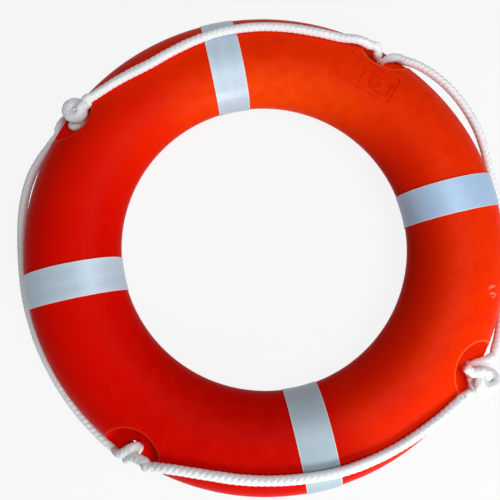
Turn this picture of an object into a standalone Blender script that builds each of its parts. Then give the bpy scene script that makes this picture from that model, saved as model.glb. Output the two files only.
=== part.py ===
# Ring life buoy: a foam filled plastic ring with four reflective bands and a grab line in four loops.
# Units are metres. The ring lies flat on its bands: +Z is its axis, and its front face looks up.
# The bands lie on the X and Y axes, and the line passes the ring in four recesses on the diagonals.

from math import cos, pi, radians, sin, sqrt

import bmesh
import bpy
from mathutils import Vector

MM = 0.001

# Ring
OUTER_DIAMETER = 0.727
HOLE_DIAMETER = 0.4424
THICKNESS = 0.105
SHELL_WALL = 0.0035
WELD_GAP = 0.0003
FOAM_CLEARANCE = 0.0003
RING_STEPS = 72
SECTION_STEPS = 24
SHARP_ANGLE = 40

# Recesses that the line passes through
RECESS_MOUTH_RADIUS = 0.047
RECESS_FLOOR_RADIUS = 0.043
RECESS_CENTRE_INSET = 0.0026
WEB_THICKNESS = 0.030
SLOT_INSET = 0.0165
SLOT_WIDTH = 0.0150
SLOT_LENGTH = 0.0220
RECESS_AZIMUTHS = (45, 135, 225, 315)
RECESS_SIDES = 32
SLOT_END_STEPS = 8
CUTTER_RISE = 0.006

# Moulded label panel on the front face, a little inside the crown
PANEL_LENGTH = 0.088
PANEL_WIDTH = 0.041
PANEL_DEPTH = 0.0010
PANEL_INSET = 0.0050
PANEL_CUTTER_DROP = 0.008
PANEL_AZIMUTH = 45

# Reflective bands
TAPE_WIDTH = 0.050
TAPE_THICKNESS = 0.0006
TAPE_CLEARANCE = 0.0005
TAPE_AZIMUTHS = {"right": 0, "top": 90, "left": 180, "bottom": 270}

# Foam filling holes and their plugs, on the back face
PLUG_HEAD_RADIUS = 0.0080
PLUG_HEAD_HEIGHT = 0.0018
PLUG_STEM_RADIUS = 0.0055
PLUG_STEM_LENGTH = 0.0120
PLUG_CLEARANCE = 0.0003
PLUG_HOLE_RISE = 0.002
PLUG_SIDES = 24
PLUG_AZIMUTHS = {"fill_plug": 22.5, "vent_plug": 202.5}

# Grab line
LINE_DIAMETER = 0.0130
KNOT_LINE_DIAMETER = 0.0096
LINE_JOINT_GAP = 0.0003
LINE_POINT_SPACING = 0.031
KNOT_POINT_SPACING = 0.0060
LINE_REST = 0.0016
BAND_REACH = 9
KNOT_LEAD = 0.0062
KNOT_OPENING = 0.9
KNOT_STEPS = 30
KNOT_RING = 1.24
KNOT_LOBE = 0.58

ringRadius = (OUTER_DIAMETER + HOLE_DIAMETER) / 4
tubeHalfWidth = (OUTER_DIAMETER - HOLE_DIAMETER) / 4
tubeHalfHeight = THICKNESS / 2
midPlane = tubeHalfHeight + TAPE_CLEARANCE + TAPE_THICKNESS
slotRadius = OUTER_DIAMETER / 2 - SLOT_INSET
recessRadius = OUTER_DIAMETER / 2 - RECESS_CENTRE_INSET


def clearScene():
    for obj in list(bpy.data.objects):
        bpy.data.objects.remove(obj, do_unlink=True)


def material(name, colour, roughness, metallic=0.0):
    made = bpy.data.materials.new(name)
    made.use_nodes = True
    shader = made.node_tree.nodes["Principled BSDF"]
    shader.inputs["Base Color"].default_value = (*colour, 1)
    shader.inputs["Roughness"].default_value = roughness
    shader.inputs["Metallic"].default_value = metallic
    return made


def link(name, data, look=None):
    obj = bpy.data.objects.new(name, data)
    bpy.context.scene.collection.objects.link(obj)
    if look:
        data.materials.append(look)
    return obj


def hide(obj):
    obj.hide_render = True
    obj.display_type = "WIRE"
    return obj


def meshFrom(name, vertices, faces):
    mesh = bpy.data.meshes.new(name)
    mesh.from_pydata(vertices, [], faces)
    body = bmesh.new()
    body.from_mesh(mesh)
    bmesh.ops.recalc_face_normals(body, faces=body.faces)
    body.to_mesh(mesh)
    body.free()
    mesh.shade_smooth()
    mesh.set_sharp_from_angle(angle=radians(SHARP_ANGLE))
    return mesh


def cut(obj, cutter, operation="DIFFERENCE"):
    modifier = obj.modifiers.new(cutter.name, "BOOLEAN")
    modifier.operation = operation
    modifier.solver = "EXACT"
    modifier.object = cutter


# Shape of the tube

def sectionPoint(angle, inset=0.0):
    # Radius and height above the mid-plane of a corner of the tube's many-sided section. Its
    # sides touch the oval in their middles, so the crown, sole and rim are flat lands.
    reach = 1 / cos(pi / SECTION_STEPS)
    return (ringRadius + (tubeHalfWidth - inset) * reach * cos(angle),
            (tubeHalfHeight - inset) * reach * sin(angle))


def sectionArc(inset, first, last):
    step = 2 * pi / SECTION_STEPS
    return [sectionPoint((i + 0.5) * step, inset) for i in range(first, last)]


def revolve(name, outline, side=1):
    # Turns a closed outline of (radius, height) about the ring's axis.
    count = len(outline)
    vertices = []
    for i in range(RING_STEPS):
        turn = 2 * pi * i / RING_STEPS
        vertices += [(r * cos(turn), r * sin(turn), midPlane + side * h) for r, h in outline]
    faces = []
    for i in range(RING_STEPS):
        here, there = i * count, (i + 1) % RING_STEPS * count
        for j in range(count):
            k = (j + 1) % count
            faces.append((here + j, there + j, there + k, here + k))
    return meshFrom(name, vertices, faces)


def halfOutline(inset, floor):
    # Half of the tube's section, closed by a straight line at the height floor.
    arc = sectionArc(inset, 0, SECTION_STEPS // 2)
    (outerR, _), (innerR, _) = arc[0], arc[-1]
    return [(outerR, floor)] + arc + [(innerR, floor)]


def onRing(azimuth, radius, height):
    turn = radians(azimuth)
    return Vector((radius * cos(turn), radius * sin(turn), midPlane + height))


# Recesses, slots and the other cutters

def taperedPost(body, azimuth, low, high, lowRadius, highRadius):
    # A many-sided cone frustum that stands on the recess's centre, between two heights.
    foot = onRing(azimuth, recessRadius, 0)
    sides = RECESS_SIDES
    rings = []
    for height, radius in ((low, lowRadius), (high, highRadius)):
        rings.append([body.verts.new((foot.x + radius * cos(2 * pi * i / sides),
                                      foot.y + radius * sin(2 * pi * i / sides),
                                      midPlane + height)) for i in range(sides)])
    bottom, top = rings
    for i in range(sides):
        j = (i + 1) % sides
        body.faces.new((bottom[i], bottom[j], top[j], top[i]))
    body.faces.new(list(reversed(bottom)))
    body.faces.new(top)


def recessRadiusAt(height, extra):
    # The recess narrows evenly from its mouth at the crown's height to its floor on the web.
    floor = WEB_THICKNESS / 2
    share = (height - floor) / (tubeHalfHeight - floor)
    return RECESS_FLOOR_RADIUS + (RECESS_MOUTH_RADIUS - RECESS_FLOOR_RADIUS) * share + extra


def recessCutter(name, side, low, extra):
    # The four recesses of one face, each from the height low to well above the crown.
    high = tubeHalfHeight + CUTTER_RISE
    body = bmesh.new()
    for azimuth in RECESS_AZIMUTHS:
        ends = [(side * low, recessRadiusAt(low, extra)), (side * high, recessRadiusAt(high, extra))]
        (z0, r0), (z1, r1) = sorted(ends)
        taperedPost(body, azimuth, z0, z1, r0, r1)
    mesh = bpy.data.meshes.new(name)
    body.to_mesh(mesh)
    body.free()
    return hide(link(name, mesh))


def slotCutter(name, reach, growth=0.0):
    # A slot with round ends through each web, long way round the ring.
    body = bmesh.new()
    for azimuth in RECESS_AZIMUTHS:
        turn = radians(azimuth)
        centre = onRing(azimuth, slotRadius, 0)
        along = Vector((-sin(turn), cos(turn), 0))
        out = Vector((cos(turn), sin(turn), 0))
        radius = SLOT_WIDTH / 2 + growth
        half = (SLOT_LENGTH - SLOT_WIDTH) / 2
        outline = []
        for end in (1, -1):
            for i in range(SLOT_END_STEPS + 1):
                a = pi * i / SLOT_END_STEPS
                outline.append(centre + along * end * (half + radius * sin(a)) + out * end * radius * cos(a))
        low = [body.verts.new(p - Vector((0, 0, reach))) for p in outline]
        high = [body.verts.new(p + Vector((0, 0, reach))) for p in outline]
        count = len(outline)
        for i in range(count):
            j = (i + 1) % count
            body.faces.new((low[i], low[j], high[j], high[i]))
        body.faces.new(list(reversed(low)))
        body.faces.new(high)
    bmesh.ops.recalc_face_normals(body, faces=body.faces)
    mesh = bpy.data.meshes.new(name)
    body.to_mesh(mesh)
    body.free()
    return hide(link(name, mesh))


def panelCutter():
    # A block over the front face, less the whole tube sunk by the panel's depth, so that the panel's
    # floor follows the curve of the front face.
    body = bmesh.new()
    bmesh.ops.create_cube(body, size=1)
    height = PANEL_CUTTER_DROP + CUTTER_RISE
    bmesh.ops.scale(body, vec=(PANEL_WIDTH, PANEL_LENGTH, height), verts=body.verts)
    mesh = bpy.data.meshes.new("panel_cutter")
    body.to_mesh(mesh)
    body.free()
    obj = hide(link("panel_cutter", mesh))
    obj.location = onRing(PANEL_AZIMUTH, ringRadius - PANEL_INSET, tubeHalfHeight + CUTTER_RISE - height / 2)
    obj.rotation_euler.z = radians(PANEL_AZIMUTH)
    cut(obj, hide(link("panel_floor", revolve("panel_floor", sectionArc(PANEL_DEPTH, 0, SECTION_STEPS)))))
    return obj


def plugMesh(name, growth, headExtra):
    # A plug with its head down: the head's face is at the sole's height, the stem points up.
    steps = PLUG_SIDES
    sole = -tubeHalfHeight
    profile = [(PLUG_HEAD_RADIUS + growth, sole - headExtra),
               (PLUG_HEAD_RADIUS + growth, sole + PLUG_HEAD_HEIGHT + growth),
               (PLUG_STEM_RADIUS + growth, sole + PLUG_HEAD_HEIGHT + growth),
               (PLUG_STEM_RADIUS + growth, sole + PLUG_STEM_LENGTH + growth)]
    vertices = []
    for radius, height in profile:
        for i in range(steps):
            vertices.append((radius * cos(2 * pi * i / steps), radius * sin(2 * pi * i / steps), height))
    faces = []
    for k in range(len(profile) - 1):
        for i in range(steps):
            j = (i + 1) % steps
            faces.append((k * steps + i, k * steps + j, (k + 1) * steps + j, (k + 1) * steps + i))
    last = (len(profile) - 1) * steps
    faces.append(tuple(range(steps)))
    faces.append(tuple(range(last, last + steps)))
    return meshFrom(name, vertices, faces)


def standOnSole(obj, azimuth):
    obj.location = onRing(azimuth, ringRadius, 0)
    return obj


# Shells and core

def halfShell(name, side, look):
    # The outside of one half, less its inside, less the recesses. The walls and floors of the
    # recesses and the walls of the slots are left because the inside stops short of them.
    shell = link(name, revolve(name, halfOutline(0, WELD_GAP / 2), side), look)
    hollow = revolve(name + "_inside", halfOutline(SHELL_WALL, -SHELL_WALL), side)
    inside = hide(link(name + "_inside", hollow))
    cut(inside, recessCutter(name + "_recess_walls", side, WEB_THICKNESS / 2 - SHELL_WALL, SHELL_WALL))
    cut(inside, slotCutter(name + "_slot_walls", WEB_THICKNESS, SHELL_WALL))
    cut(shell, inside)
    cut(shell, recessCutter(name + "_recesses", side, WEB_THICKNESS / 2, 0))
    cut(shell, slotCutter(name + "_slots", WEB_THICKNESS))
    return shell


def foamCore(look):
    outline = sectionArc(SHELL_WALL + FOAM_CLEARANCE, 0, SECTION_STEPS)
    core = link("foam_core", revolve("foam_core", outline), look)
    extra = SHELL_WALL + FOAM_CLEARANCE
    for side, name in ((1, "front"), (-1, "back")):
        cut(core, recessCutter("foam_" + name + "_recesses", side, WEB_THICKNESS / 2 - extra, extra))
    cut(core, slotCutter("foam_slots", WEB_THICKNESS, extra))
    return core


# Reflective bands

def tape(name, azimuth, look):
    # A band of even width wrapped right round the tube, following its section.
    inner = -TAPE_CLEARANCE
    outer = inner - TAPE_THICKNESS
    offsets = (-TAPE_WIDTH / 2, 0, TAPE_WIDTH / 2)
    turn = radians(azimuth)
    vertices = []
    for inset, order in ((outer, offsets), (inner, tuple(reversed(offsets)))):
        for across in order:
            for r, h in sectionArc(inset, 0, SECTION_STEPS):
                x = sqrt(r * r - across * across)
                vertices.append((x * cos(turn) - across * sin(turn),
                                 x * sin(turn) + across * cos(turn), midPlane + h))
    loops = len(offsets) * 2
    faces = []
    for k in range(loops):
        here, there = k * SECTION_STEPS, (k + 1) % loops * SECTION_STEPS
        for i in range(SECTION_STEPS):
            j = (i + 1) % SECTION_STEPS
            faces.append((here + i, here + j, there + j, there + i))
    return link(name, meshFrom(name, vertices, faces), look)


# Grab line: a route is a list of (azimuth in degrees, mm outside the rim, mm above the mid-plane),
# and a point without a height rests on the front of the tube

TOP_ROUTE = [
    (49.4, -27.0, 48.2), (51.0, -29.8, 52.6), (52.8, -32.9, 55.4), (57.0, -38.4),
    (63.0, -41.8), (71.0, -43.0), (80.0, -43.6), (90.0, -46.8),
    (98.0, -50.0), (106.0, -53.6), (111.0, -54.2), (116.0, -50.4),
    (121.0, -44.4), (125.0, -39.0), (127.6, -34.4),
]

LEFT_ROUTE = [
    (141.2, 8.0, -4.0), (143.6, 9.6, -3.4), (146.6, 12.4, -2.4), (151.0, 15.0, -1.4),
    (156.0, 15.0, -1.6), (161.0, 13.0, -2.4), (167.0, 10.2, -4.6), (174.0, 9.0, -7.0),
    (182.0, 8.8, -8.2), (191.0, 8.4, -8.6), (199.0, 8.0, -8.4), (206.0, 7.8, -7.0),
    (212.0, 7.8, -5.0), (217.0, 7.8, -3.4), (220.2, 7.8, -2.0),
]

BOTTOM_ROUTE = [
    (231.2, -18.6), (233.2, -24.0), (235.8, -29.2), (239.4, -34.0), (244.0, -37.6), (251.0, -39.2),
    (259.0, -39.6), (267.0, -38.8), (275.0, -35.8), (283.0, -32.8), (290.0, -29.8), (296.0, -26.4),
    (301.0, -22.2), (305.4, -17.4),
]

RIGHT_ROUTE = [
    (321.6, 12.0, 9.0), (325.0, 11.6, 5.6), (331.0, 9.4, 1.6), (340.0, 8.2, -1.4),
    (350.0, 8.6, -3.4), (360.0, 9.2, -3.0), (366.0, 11.6, 1.0), (371.0, 15.4, 5.6),
    (376.0, 18.0, 10.6), (382.0, 18.0, 15.6), (388.0, 15.8, 19.4), (393.0, 11.0, 21.8),
    (397.0, 5.4, 22.8), (399.6, -0.9, 22.8),
]

# Knots: a route up to the turns, the turns about a centre with the side they open to, and a
# route away from them

TOP_LEFT_KNOT = {
    "before": [(130.3, -29.6, 46.8), (131.8, -26.2, 41.5), (133.1, -29.3, 38.6),
               (134.5, -25.7, 36.6), (135.0, -15.5, 35.2), (134.1, -6.3, 34.2), (132.6, -3.4, 33.2),
               (131.4, -8.2, 31.6), (131.1, -14.4, 29.0), (131.6, -18.9, 25.6), (132.6, -22.4, 22.6)],
    "after": [(134.2, -24.9, 21.2), (135.5, -23.9, 21.2), (136.3, -20.6, 21.2), (136.1, -17.4, 19.4),
              (135.5, -16.5, 13.0), (135.2, -16.5, 5.0), (135.2, -16.5, -7.0), (135.2, -14.5, -18.0),
              (135.1, -8.0, -21.6), (134.9, 0.0, -20.8), (134.8, 7.5, -16.5), (135.1, 11.8, -10.5),
              (136.3, 12.4, -6.2), (138.4, 10.4, -4.4)],
}

BOTTOM_LEFT_KNOT = {
    "before": [(221.9, 6.0, 7.5), (222.6, 3.0, 16.0), (223.4, -4.6, 23.0), (224.0, -12.9, 26.5),
               (224.6, -19.6, 28.3), (225.3, -22.6, 27.0), (225.8, -20.6, 22.4), (225.75, -17.4, 15.0),
               (225.7, -16.5, 6.0), (225.7, -16.5, -8.0), (225.6, -15.0, -18.0), (225.4, -8.9, -21.8),
               (225.1, -1.0, -20.8), (224.8, 4.8, -14.6), (224.7, 7.2, -6.0), (224.7, 6.6, 4.0),
               (224.9, 4.4, 13.2), (225.25, -2.4, 22.8), (226.1, -10.6, 30.0), (227.4, -14.2, 35.2),
               (228.9, -15.4, 38.8)],
}

TOP_RIGHT_KNOT = {
    "before": [(46.4, -25.0, 36.4), (46.1, -23.6, 29.6), (46.0, -19.0, 21.8), (45.85, -16.5, 11.0),
               (45.85, -16.5, 0.0), (45.85, -16.5, -12.0), (45.95, -17.6, -22.0), (45.8, -20.4, -29.6),
               (44.6, -17.2, -32.0)],
    "centre": (41.7, -8.0, -26.8), "opening": (-0.43, 0.90), "across": (0.90, 0.43), "flip": 1,
    "after": [(43.4, -18.5, -21.4), (44.1, -16.8, -18.0), (44.15, -16.5, -10.0), (44.15, -16.5, 0.0),
              (44.15, -16.5, 9.0), (44.05, -16.0, 17.6), (43.3, -12.4, 22.2)],
}

FRONT_STOPPER = {
    "before": [(307.3, -14.2, 40.5), (308.9, -6.0, 31.0), (309.9, 2.6, 20.0), (310.6, 6.8, 8.0),
               (311.6, 7.4, -4.0), (312.6, 5.2, -14.6), (313.4, 0.4, -20.4), (314.0, -6.4, -22.4),
               (314.2, -13.0, -19.6), (314.15, -16.5, -8.0), (314.15, -16.5, 5.0),
               (314.15, -16.9, 14.6), (313.9, -15.6, 21.4), (313.5, -11.6, 24.6)],
    "centre": (313.9, 3.4, 30.8), "opening": (-1, 0), "across": (0, -1), "flip": -1,
    "after": [(313.9, -18.0, 36.4), (313.95, -26.0, 36.0), (314.15, -31.0, 34.6)],
}

BACK_STOPPER = {
    "before": [(319.6, 6.0, 17.4), (318.4, -0.6, 21.8), (317.2, -8.4, 22.4), (316.05, -15.3, 19.6),
               (315.85, -16.5, 11.0), (315.85, -16.5, -9.0), (315.95, -18.2, -18.8), (316.7, -24.4, -22.6),
               (318.3, -26.0, -22.2)],
    "centre": (318.5, -4.4, -27.3), "opening": (-1, 0), "across": (0, 1), "flip": -1,
    "after": [(318.5, -25.6, -32.4), (319.7, -28.6, -31.8)],
}


def restHeight(azimuth, radius):
    # Height at which a line at this radius lies on the front of the tube, or on a band there.
    reach = LINE_DIAMETER / 2 + LINE_REST
    if min(azimuth % 90, 90 - azimuth % 90) < BAND_REACH:
        reach += TAPE_CLEARANCE + TAPE_THICKNESS
    share = (radius - ringRadius) / (tubeHalfWidth + reach)
    return (tubeHalfHeight + reach) * sqrt(1 - share * share)


def routePoint(azimuth, outside, above=None):
    radius = OUTER_DIAMETER / 2 + outside * MM
    return onRing(azimuth, radius, restHeight(azimuth, radius) if above is None else above * MM)


def smoothCurve(points, samples=24):
    # A centripetal Catmull-Rom curve through the points, finely sampled.
    ends = [points[0] * 2 - points[1]] + list(points) + [points[-1] * 2 - points[-2]]
    fine = []
    for a, b, c, d in zip(ends, ends[1:], ends[2:], ends[3:]):
        t1 = max((b - a).length, 1e-6) ** 0.5
        t2 = t1 + max((c - b).length, 1e-6) ** 0.5
        t3 = t2 + max((d - c).length, 1e-6) ** 0.5
        for i in range(samples):
            t = t1 + (t2 - t1) * i / samples
            ab = a * ((t1 - t) / t1) + b * (t / t1)
            bc = b * ((t2 - t) / (t2 - t1)) + c * ((t - t1) / (t2 - t1))
            cd = c * ((t3 - t) / (t3 - t2)) + d * ((t - t2) / (t3 - t2))
            abc = ab * ((t2 - t) / t2) + bc * (t / t2)
            bcd = bc * ((t3 - t) / (t3 - t1)) + cd * ((t - t1) / (t3 - t1))
            fine.append(abc * ((t2 - t) / (t2 - t1)) + bcd * ((t - t1) / (t2 - t1)))
    return fine + [points[-1]]


def evenPoints(fine, spacing):
    # The same curve at even steps of about the given spacing.
    lengths = [0.0]
    for a, b in zip(fine, fine[1:]):
        lengths.append(lengths[-1] + (b - a).length)
    count = max(4, round(lengths[-1] / spacing))
    points = []
    k = 0
    for i in range(count + 1):
        wanted = lengths[-1] * i / count
        while k < len(fine) - 2 and lengths[k + 1] < wanted:
            k += 1
        share = (wanted - lengths[k]) / (lengths[k + 1] - lengths[k])
        points.append(fine[k].lerp(fine[k + 1], min(share, 1)))
    return points


def lineTube(name, points, radii, look, origin=None):
    # A round tube along the points, each with its own radius, about an origin on its joint axis.
    place = origin or Vector((0, 0, 0))
    curve = bpy.data.curves.new(name, "CURVE")
    curve.dimensions = "3D"
    curve.bevel_depth = 1.0
    curve.bevel_resolution = 2
    curve.use_fill_caps = True
    spline = curve.splines.new("POLY")
    spline.points.add(len(points) - 1)
    for target, point, radius in zip(spline.points, points, radii):
        target.co = (*(point - place), 1)
        target.radius = radius
    obj = link(name, curve, look)
    obj.location = place
    return obj


def loopPath(route):
    return evenPoints(smoothCurve([routePoint(*p) for p in route]), LINE_POINT_SPACING)


def lineLoop(name, route, look):
    # One loop of the line between two recesses. Its ends are rounded, and its origin lies on
    # the axis through the centres of its two round ends, about which it swings.
    radius = LINE_DIAMETER / 2
    points = loopPath(route)
    first, last = points[0], points[-1]
    outward = [(first - points[1]).normalized(), (last - points[-2]).normalized()]
    capAngles = (30, 60, 84)
    caps = [(radius * sin(radians(a)), radius * cos(radians(a))) for a in capAngles]
    start = [(first + outward[0] * reach, size) for reach, size in reversed(caps)]
    end = [(last + outward[1] * reach, size) for reach, size in caps]
    body = [(p, radius) for p in points]
    chain = start + body + end
    return lineTube(name, [p for p, _ in chain], [r for _, r in chain], look, (first + last) / 2)


def loopEnd(route, which):
    # Where the face of a knot meets the round end of a loop, and the direction out of the loop.
    points = loopPath(route)
    tip, before = (points[0], points[1]) if which == "start" else (points[-1], points[-2])
    outward = (tip - before).normalized()
    return tip + outward * (LINE_DIAMETER / 2 + LINE_JOINT_GAP), outward


def knotTurns(knot):
    # The crossing turns of an overhand knot, as a length of a two-by-three torus knot that lies
    # square to the ring's axis. The line's two parts leave it at the side that it opens to.
    if "centre" not in knot:
        return []
    centre = routePoint(*knot["centre"])
    turn = radians(knot["centre"][0])
    out = Vector((cos(turn), sin(turn), 0))
    roundwards = Vector((-sin(turn), cos(turn), 0))
    opening, across = ((out * knot[way][0] + roundwards * knot[way][1]).normalized()
                       for way in ("opening", "across"))
    normal = opening.cross(across) * knot["flip"]
    ringSize = KNOT_RING * KNOT_LINE_DIAMETER
    tubeSize = KNOT_LOBE * KNOT_LINE_DIAMETER
    points = []
    for i in range(KNOT_STEPS + 1):
        turn = KNOT_OPENING + (4 * pi - 2 * KNOT_OPENING) * i / KNOT_STEPS
        reach = ringSize + tubeSize * cos(1.5 * turn)
        points.append(centre + opening * reach * cos(turn) + across * reach * sin(turn)
                      + normal * tubeSize * sin(1.5 * turn))
    return points


def knotTube(name, knot, look, comes, goes=None):
    # A knot's tube, from one end of the loop that comes to it to one end of the loop that goes.
    face, direction = loopEnd(*comes)
    points = [face, face + direction * KNOT_LEAD] + [routePoint(*p) for p in knot["before"]]
    points += knotTurns(knot) + [routePoint(*p) for p in knot.get("after", [])]
    if goes:
        face, direction = loopEnd(*goes)
        points = points + [face + direction * KNOT_LEAD, face]
    path = evenPoints(smoothCurve(points), KNOT_POINT_SPACING)
    return lineTube(name, path, [KNOT_LINE_DIAMETER / 2] * len(path), look)


# Assembly

def build():
    clearScene()
    orange = material("orange_shell", (0.86, 0.05, 0.01), 0.38)
    foam = material("foam", (0.80, 0.68, 0.38), 0.9)
    silver = material("reflective_tape", (0.56, 0.62, 0.64), 0.35, 0.2)
    white = material("braided_line", (0.86, 0.88, 0.88), 0.85)
    plugLook = material("plug", (0.80, 0.06, 0.02), 0.5)

    front = halfShell("front_shell", 1, orange)
    cut(front, panelCutter())
    back = halfShell("back_shell", -1, orange)
    core = foamCore(foam)
    hole = plugMesh("plug_hole", PLUG_CLEARANCE, PLUG_HOLE_RISE)
    for name, azimuth in PLUG_AZIMUTHS.items():
        cutter = standOnSole(hide(link(name + "_hole", hole)), azimuth)
        cut(back, cutter)
        cut(core, cutter)
        standOnSole(link(name, plugMesh(name, 0, 0), plugLook), azimuth)
    for name, azimuth in TAPE_AZIMUTHS.items():
        tape("reflective_tape_" + name, azimuth, silver)
    for name, route in (("top", TOP_ROUTE), ("left", LEFT_ROUTE),
                        ("bottom", BOTTOM_ROUTE), ("right", RIGHT_ROUTE)):
        lineLoop("grab_line_" + name, route, white)
    knotTube("line_knot_top_left", TOP_LEFT_KNOT, white, (TOP_ROUTE, "end"), (LEFT_ROUTE, "start"))
    knotTube("line_knot_bottom_left", BOTTOM_LEFT_KNOT, white, (LEFT_ROUTE, "end"), (BOTTOM_ROUTE, "start"))
    knotTube("line_knot_top_right", TOP_RIGHT_KNOT, white, (TOP_ROUTE, "start"), (RIGHT_ROUTE, "end"))
    knotTube("line_stopper_front", FRONT_STOPPER, white, (BOTTOM_ROUTE, "end"))
    knotTube("line_stopper_back", BACK_STOPPER, white, (RIGHT_ROUTE, "start"))


build()
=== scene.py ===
from math import cos, pi, radians, sin, sqrt

import bmesh
import bpy
import numpy as np
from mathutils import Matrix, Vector


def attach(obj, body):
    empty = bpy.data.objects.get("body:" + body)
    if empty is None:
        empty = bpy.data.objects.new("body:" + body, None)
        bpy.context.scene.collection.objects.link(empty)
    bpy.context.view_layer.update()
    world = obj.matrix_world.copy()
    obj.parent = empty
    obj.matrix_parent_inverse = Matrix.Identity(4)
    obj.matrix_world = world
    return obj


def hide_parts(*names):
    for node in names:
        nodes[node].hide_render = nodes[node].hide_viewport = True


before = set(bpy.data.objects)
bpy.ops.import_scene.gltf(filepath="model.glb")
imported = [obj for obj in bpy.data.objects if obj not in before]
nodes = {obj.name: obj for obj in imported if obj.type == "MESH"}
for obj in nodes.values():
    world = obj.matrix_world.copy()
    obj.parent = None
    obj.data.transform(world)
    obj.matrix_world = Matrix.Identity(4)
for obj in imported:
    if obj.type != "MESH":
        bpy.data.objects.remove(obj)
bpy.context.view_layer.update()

ring = {"radius": 0.2924, "rim": 0.3635, "halfWidth": 0.0711, "halfHeight": 0.0525, "midPlane": 0.0536}

# Camera and line first: they settle what the rest is seen against

view = {"place": (-0.054901, -0.085191, 0.686758), "turn": (0.130631, -0.017296, -0.223140),
        "lens": 29.985, "nearest": 0.01}


def addCamera():
    bpy.ops.object.select_all(action="DESELECT")
    bpy.ops.object.camera_add(location=view["place"], rotation=view["turn"])
    camera = bpy.context.active_object
    camera.data.lens = view["lens"]
    camera.data.clip_start = view["nearest"]
    bpy.context.scene.camera = camera


addCamera()
print("camera placed")


# Shader helpers


class Wire:
    # An output of a node, which can be added, multiplied and so on.
    def __init__(self, look, socket):
        self.look = look
        self.socket = socket

    def __add__(self, other):
        return self.look.maths("ADD", self, other)

    def __radd__(self, other):
        return self.look.maths("ADD", other, self)

    def __sub__(self, other):
        return self.look.maths("SUBTRACT", self, other)

    def __rsub__(self, other):
        return self.look.maths("SUBTRACT", other, self)

    def __mul__(self, other):
        return self.look.maths("MULTIPLY", self, other)

    def __rmul__(self, other):
        return self.look.maths("MULTIPLY", other, self)

    def __truediv__(self, other):
        return self.look.maths("DIVIDE", self, other)

    def __rtruediv__(self, other):
        return self.look.maths("DIVIDE", other, self)

    def __pow__(self, other):
        return self.look.maths("POWER", self, other)


class Look:
    # A material or the world, with its one shader and the nodes that feed it.
    def __init__(self, owner, shader="Principled BSDF"):
        owner.use_nodes = True
        self.owner = owner
        self.tree = owner.node_tree
        self.shader = self.tree.nodes[shader]

    def plug(self, socket, value):
        if isinstance(value, Wire):
            self.tree.links.new(value.socket, socket)
        elif isinstance(value, tuple) and socket.type == "RGBA" and len(value) == 3:
            socket.default_value = (*value, 1)
        else:
            socket.default_value = value

    def node(self, kind, settings, inputs, out=0):
        made = self.tree.nodes.new(kind)
        for key, value in settings.items():
            setattr(made, key, value)
        for key, value in inputs.items():
            self.plug(made.inputs[key], value)
        return Wire(self, made.outputs[out])

    def maths(self, operation, *values):
        return self.node("ShaderNodeMath", {"operation": operation}, dict(enumerate(values)))

    def vector(self, operation, *values, out=0):
        return self.node("ShaderNodeVectorMath", {"operation": operation}, dict(enumerate(values)), out)

    def mix(self, share, first, second):
        return self.node("ShaderNodeMix", {"data_type": "RGBA"}, {0: share, 6: first, 7: second}, 2)

    def place(self, kind="Object"):
        return self.node("ShaderNodeTexCoord", {}, {}, kind)

    def split(self, where):
        return [self.node("ShaderNodeSeparateXYZ", {}, {0: where}, axis) for axis in "XYZ"]

    def stretch(self, where, scale):
        return self.node("ShaderNodeMapping", {}, {"Vector": where, "Scale": scale})

    def noise(self, where, scale, detail, roughness, distortion=0.0):
        inputs = {"Vector": where, "Scale": scale, "Detail": detail, "Roughness": roughness,
                  "Distortion": distortion}
        return self.node("ShaderNodeTexNoise", {}, inputs)

    def fit(self, value, low, high, toLow=0.0, toHigh=1.0):
        inputs = {0: value, 1: low, 2: high, 3: toLow, 4: toHigh}
        return self.node("ShaderNodeMapRange", {"interpolation_type": "SMOOTHSTEP"}, inputs)

    def bump(self, height, distance, strength=1.0, under=None):
        inputs = {"Strength": strength, "Distance": distance, "Height": height}
        if under:
            inputs["Normal"] = under
        return self.node("ShaderNodeBump", {}, inputs)

    def give(self, inputs):
        for key, value in inputs.items():
            self.plug(self.shader.inputs[key], value)
        return self.owner


# Grab line. A route is a list of (azimuth in degrees, metres outside the rim, metres above the
# mid-plane), and a point without a height rests on the front of the tube.

line = {
    "halfWidth": 0.0073, "halfThickness": 0.0061,  # the loops' flattened section
    "endRadius": 0.0066, "flatten": 0.020,  # round at a loop's ends, and flat this far on
    "wander": ((0.03, 71, 9), (0.02, 173, 4)),  # how uneven the loops' width is
    "knotWidth": 0.0071, "knotThickness": 0.0056,  # half the section in the knots
    "slotWidth": 0.0050, "slotThickness": 0.0068,  # and where a slot squeezes it
    "slotHeight": 0.0235, "heightFade": 0.006, "slotInset": 0.0065, "insetFade": 0.004,
    "lead": 0.0065, "swell": 0.016, "swellFrom": 0.004,  # a knot's end meets its loop,
    "tuckWide": 0.0002, "tuckThick": 0.0004,  # and stays inside it
    "seal": 0.004, "tip": 0.01,  # a cut end melted round
    "strands": 4, "pick": 0.0084, "twist": 5.0,  # four strands each way
    "crown": 0.0009, "crownSlope": 1.9, "float": 0.0005, "apart": 40,
    "step": 0.0008, "around": 56, "between": 24, "chord": 0.031, "turnRate": 0.12,
    "gap": 0.0004, "band": 0.0011, "bandReach": 7,  # clear of the shell and the bands
    # clean and soiled are the line's own colour; the third darkens the grooves as painted shade
    "clean": (0.93, 0.96, 0.98), "soiled": (0.87, 0.90, 0.93), "paintedGrooveShade": (0.72, 0.78, 0.82),
    "yarns": (7.0, 0.7, 1.0), "fuzz": 900, "soil": 16, "sheen": 0.15,
}

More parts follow.
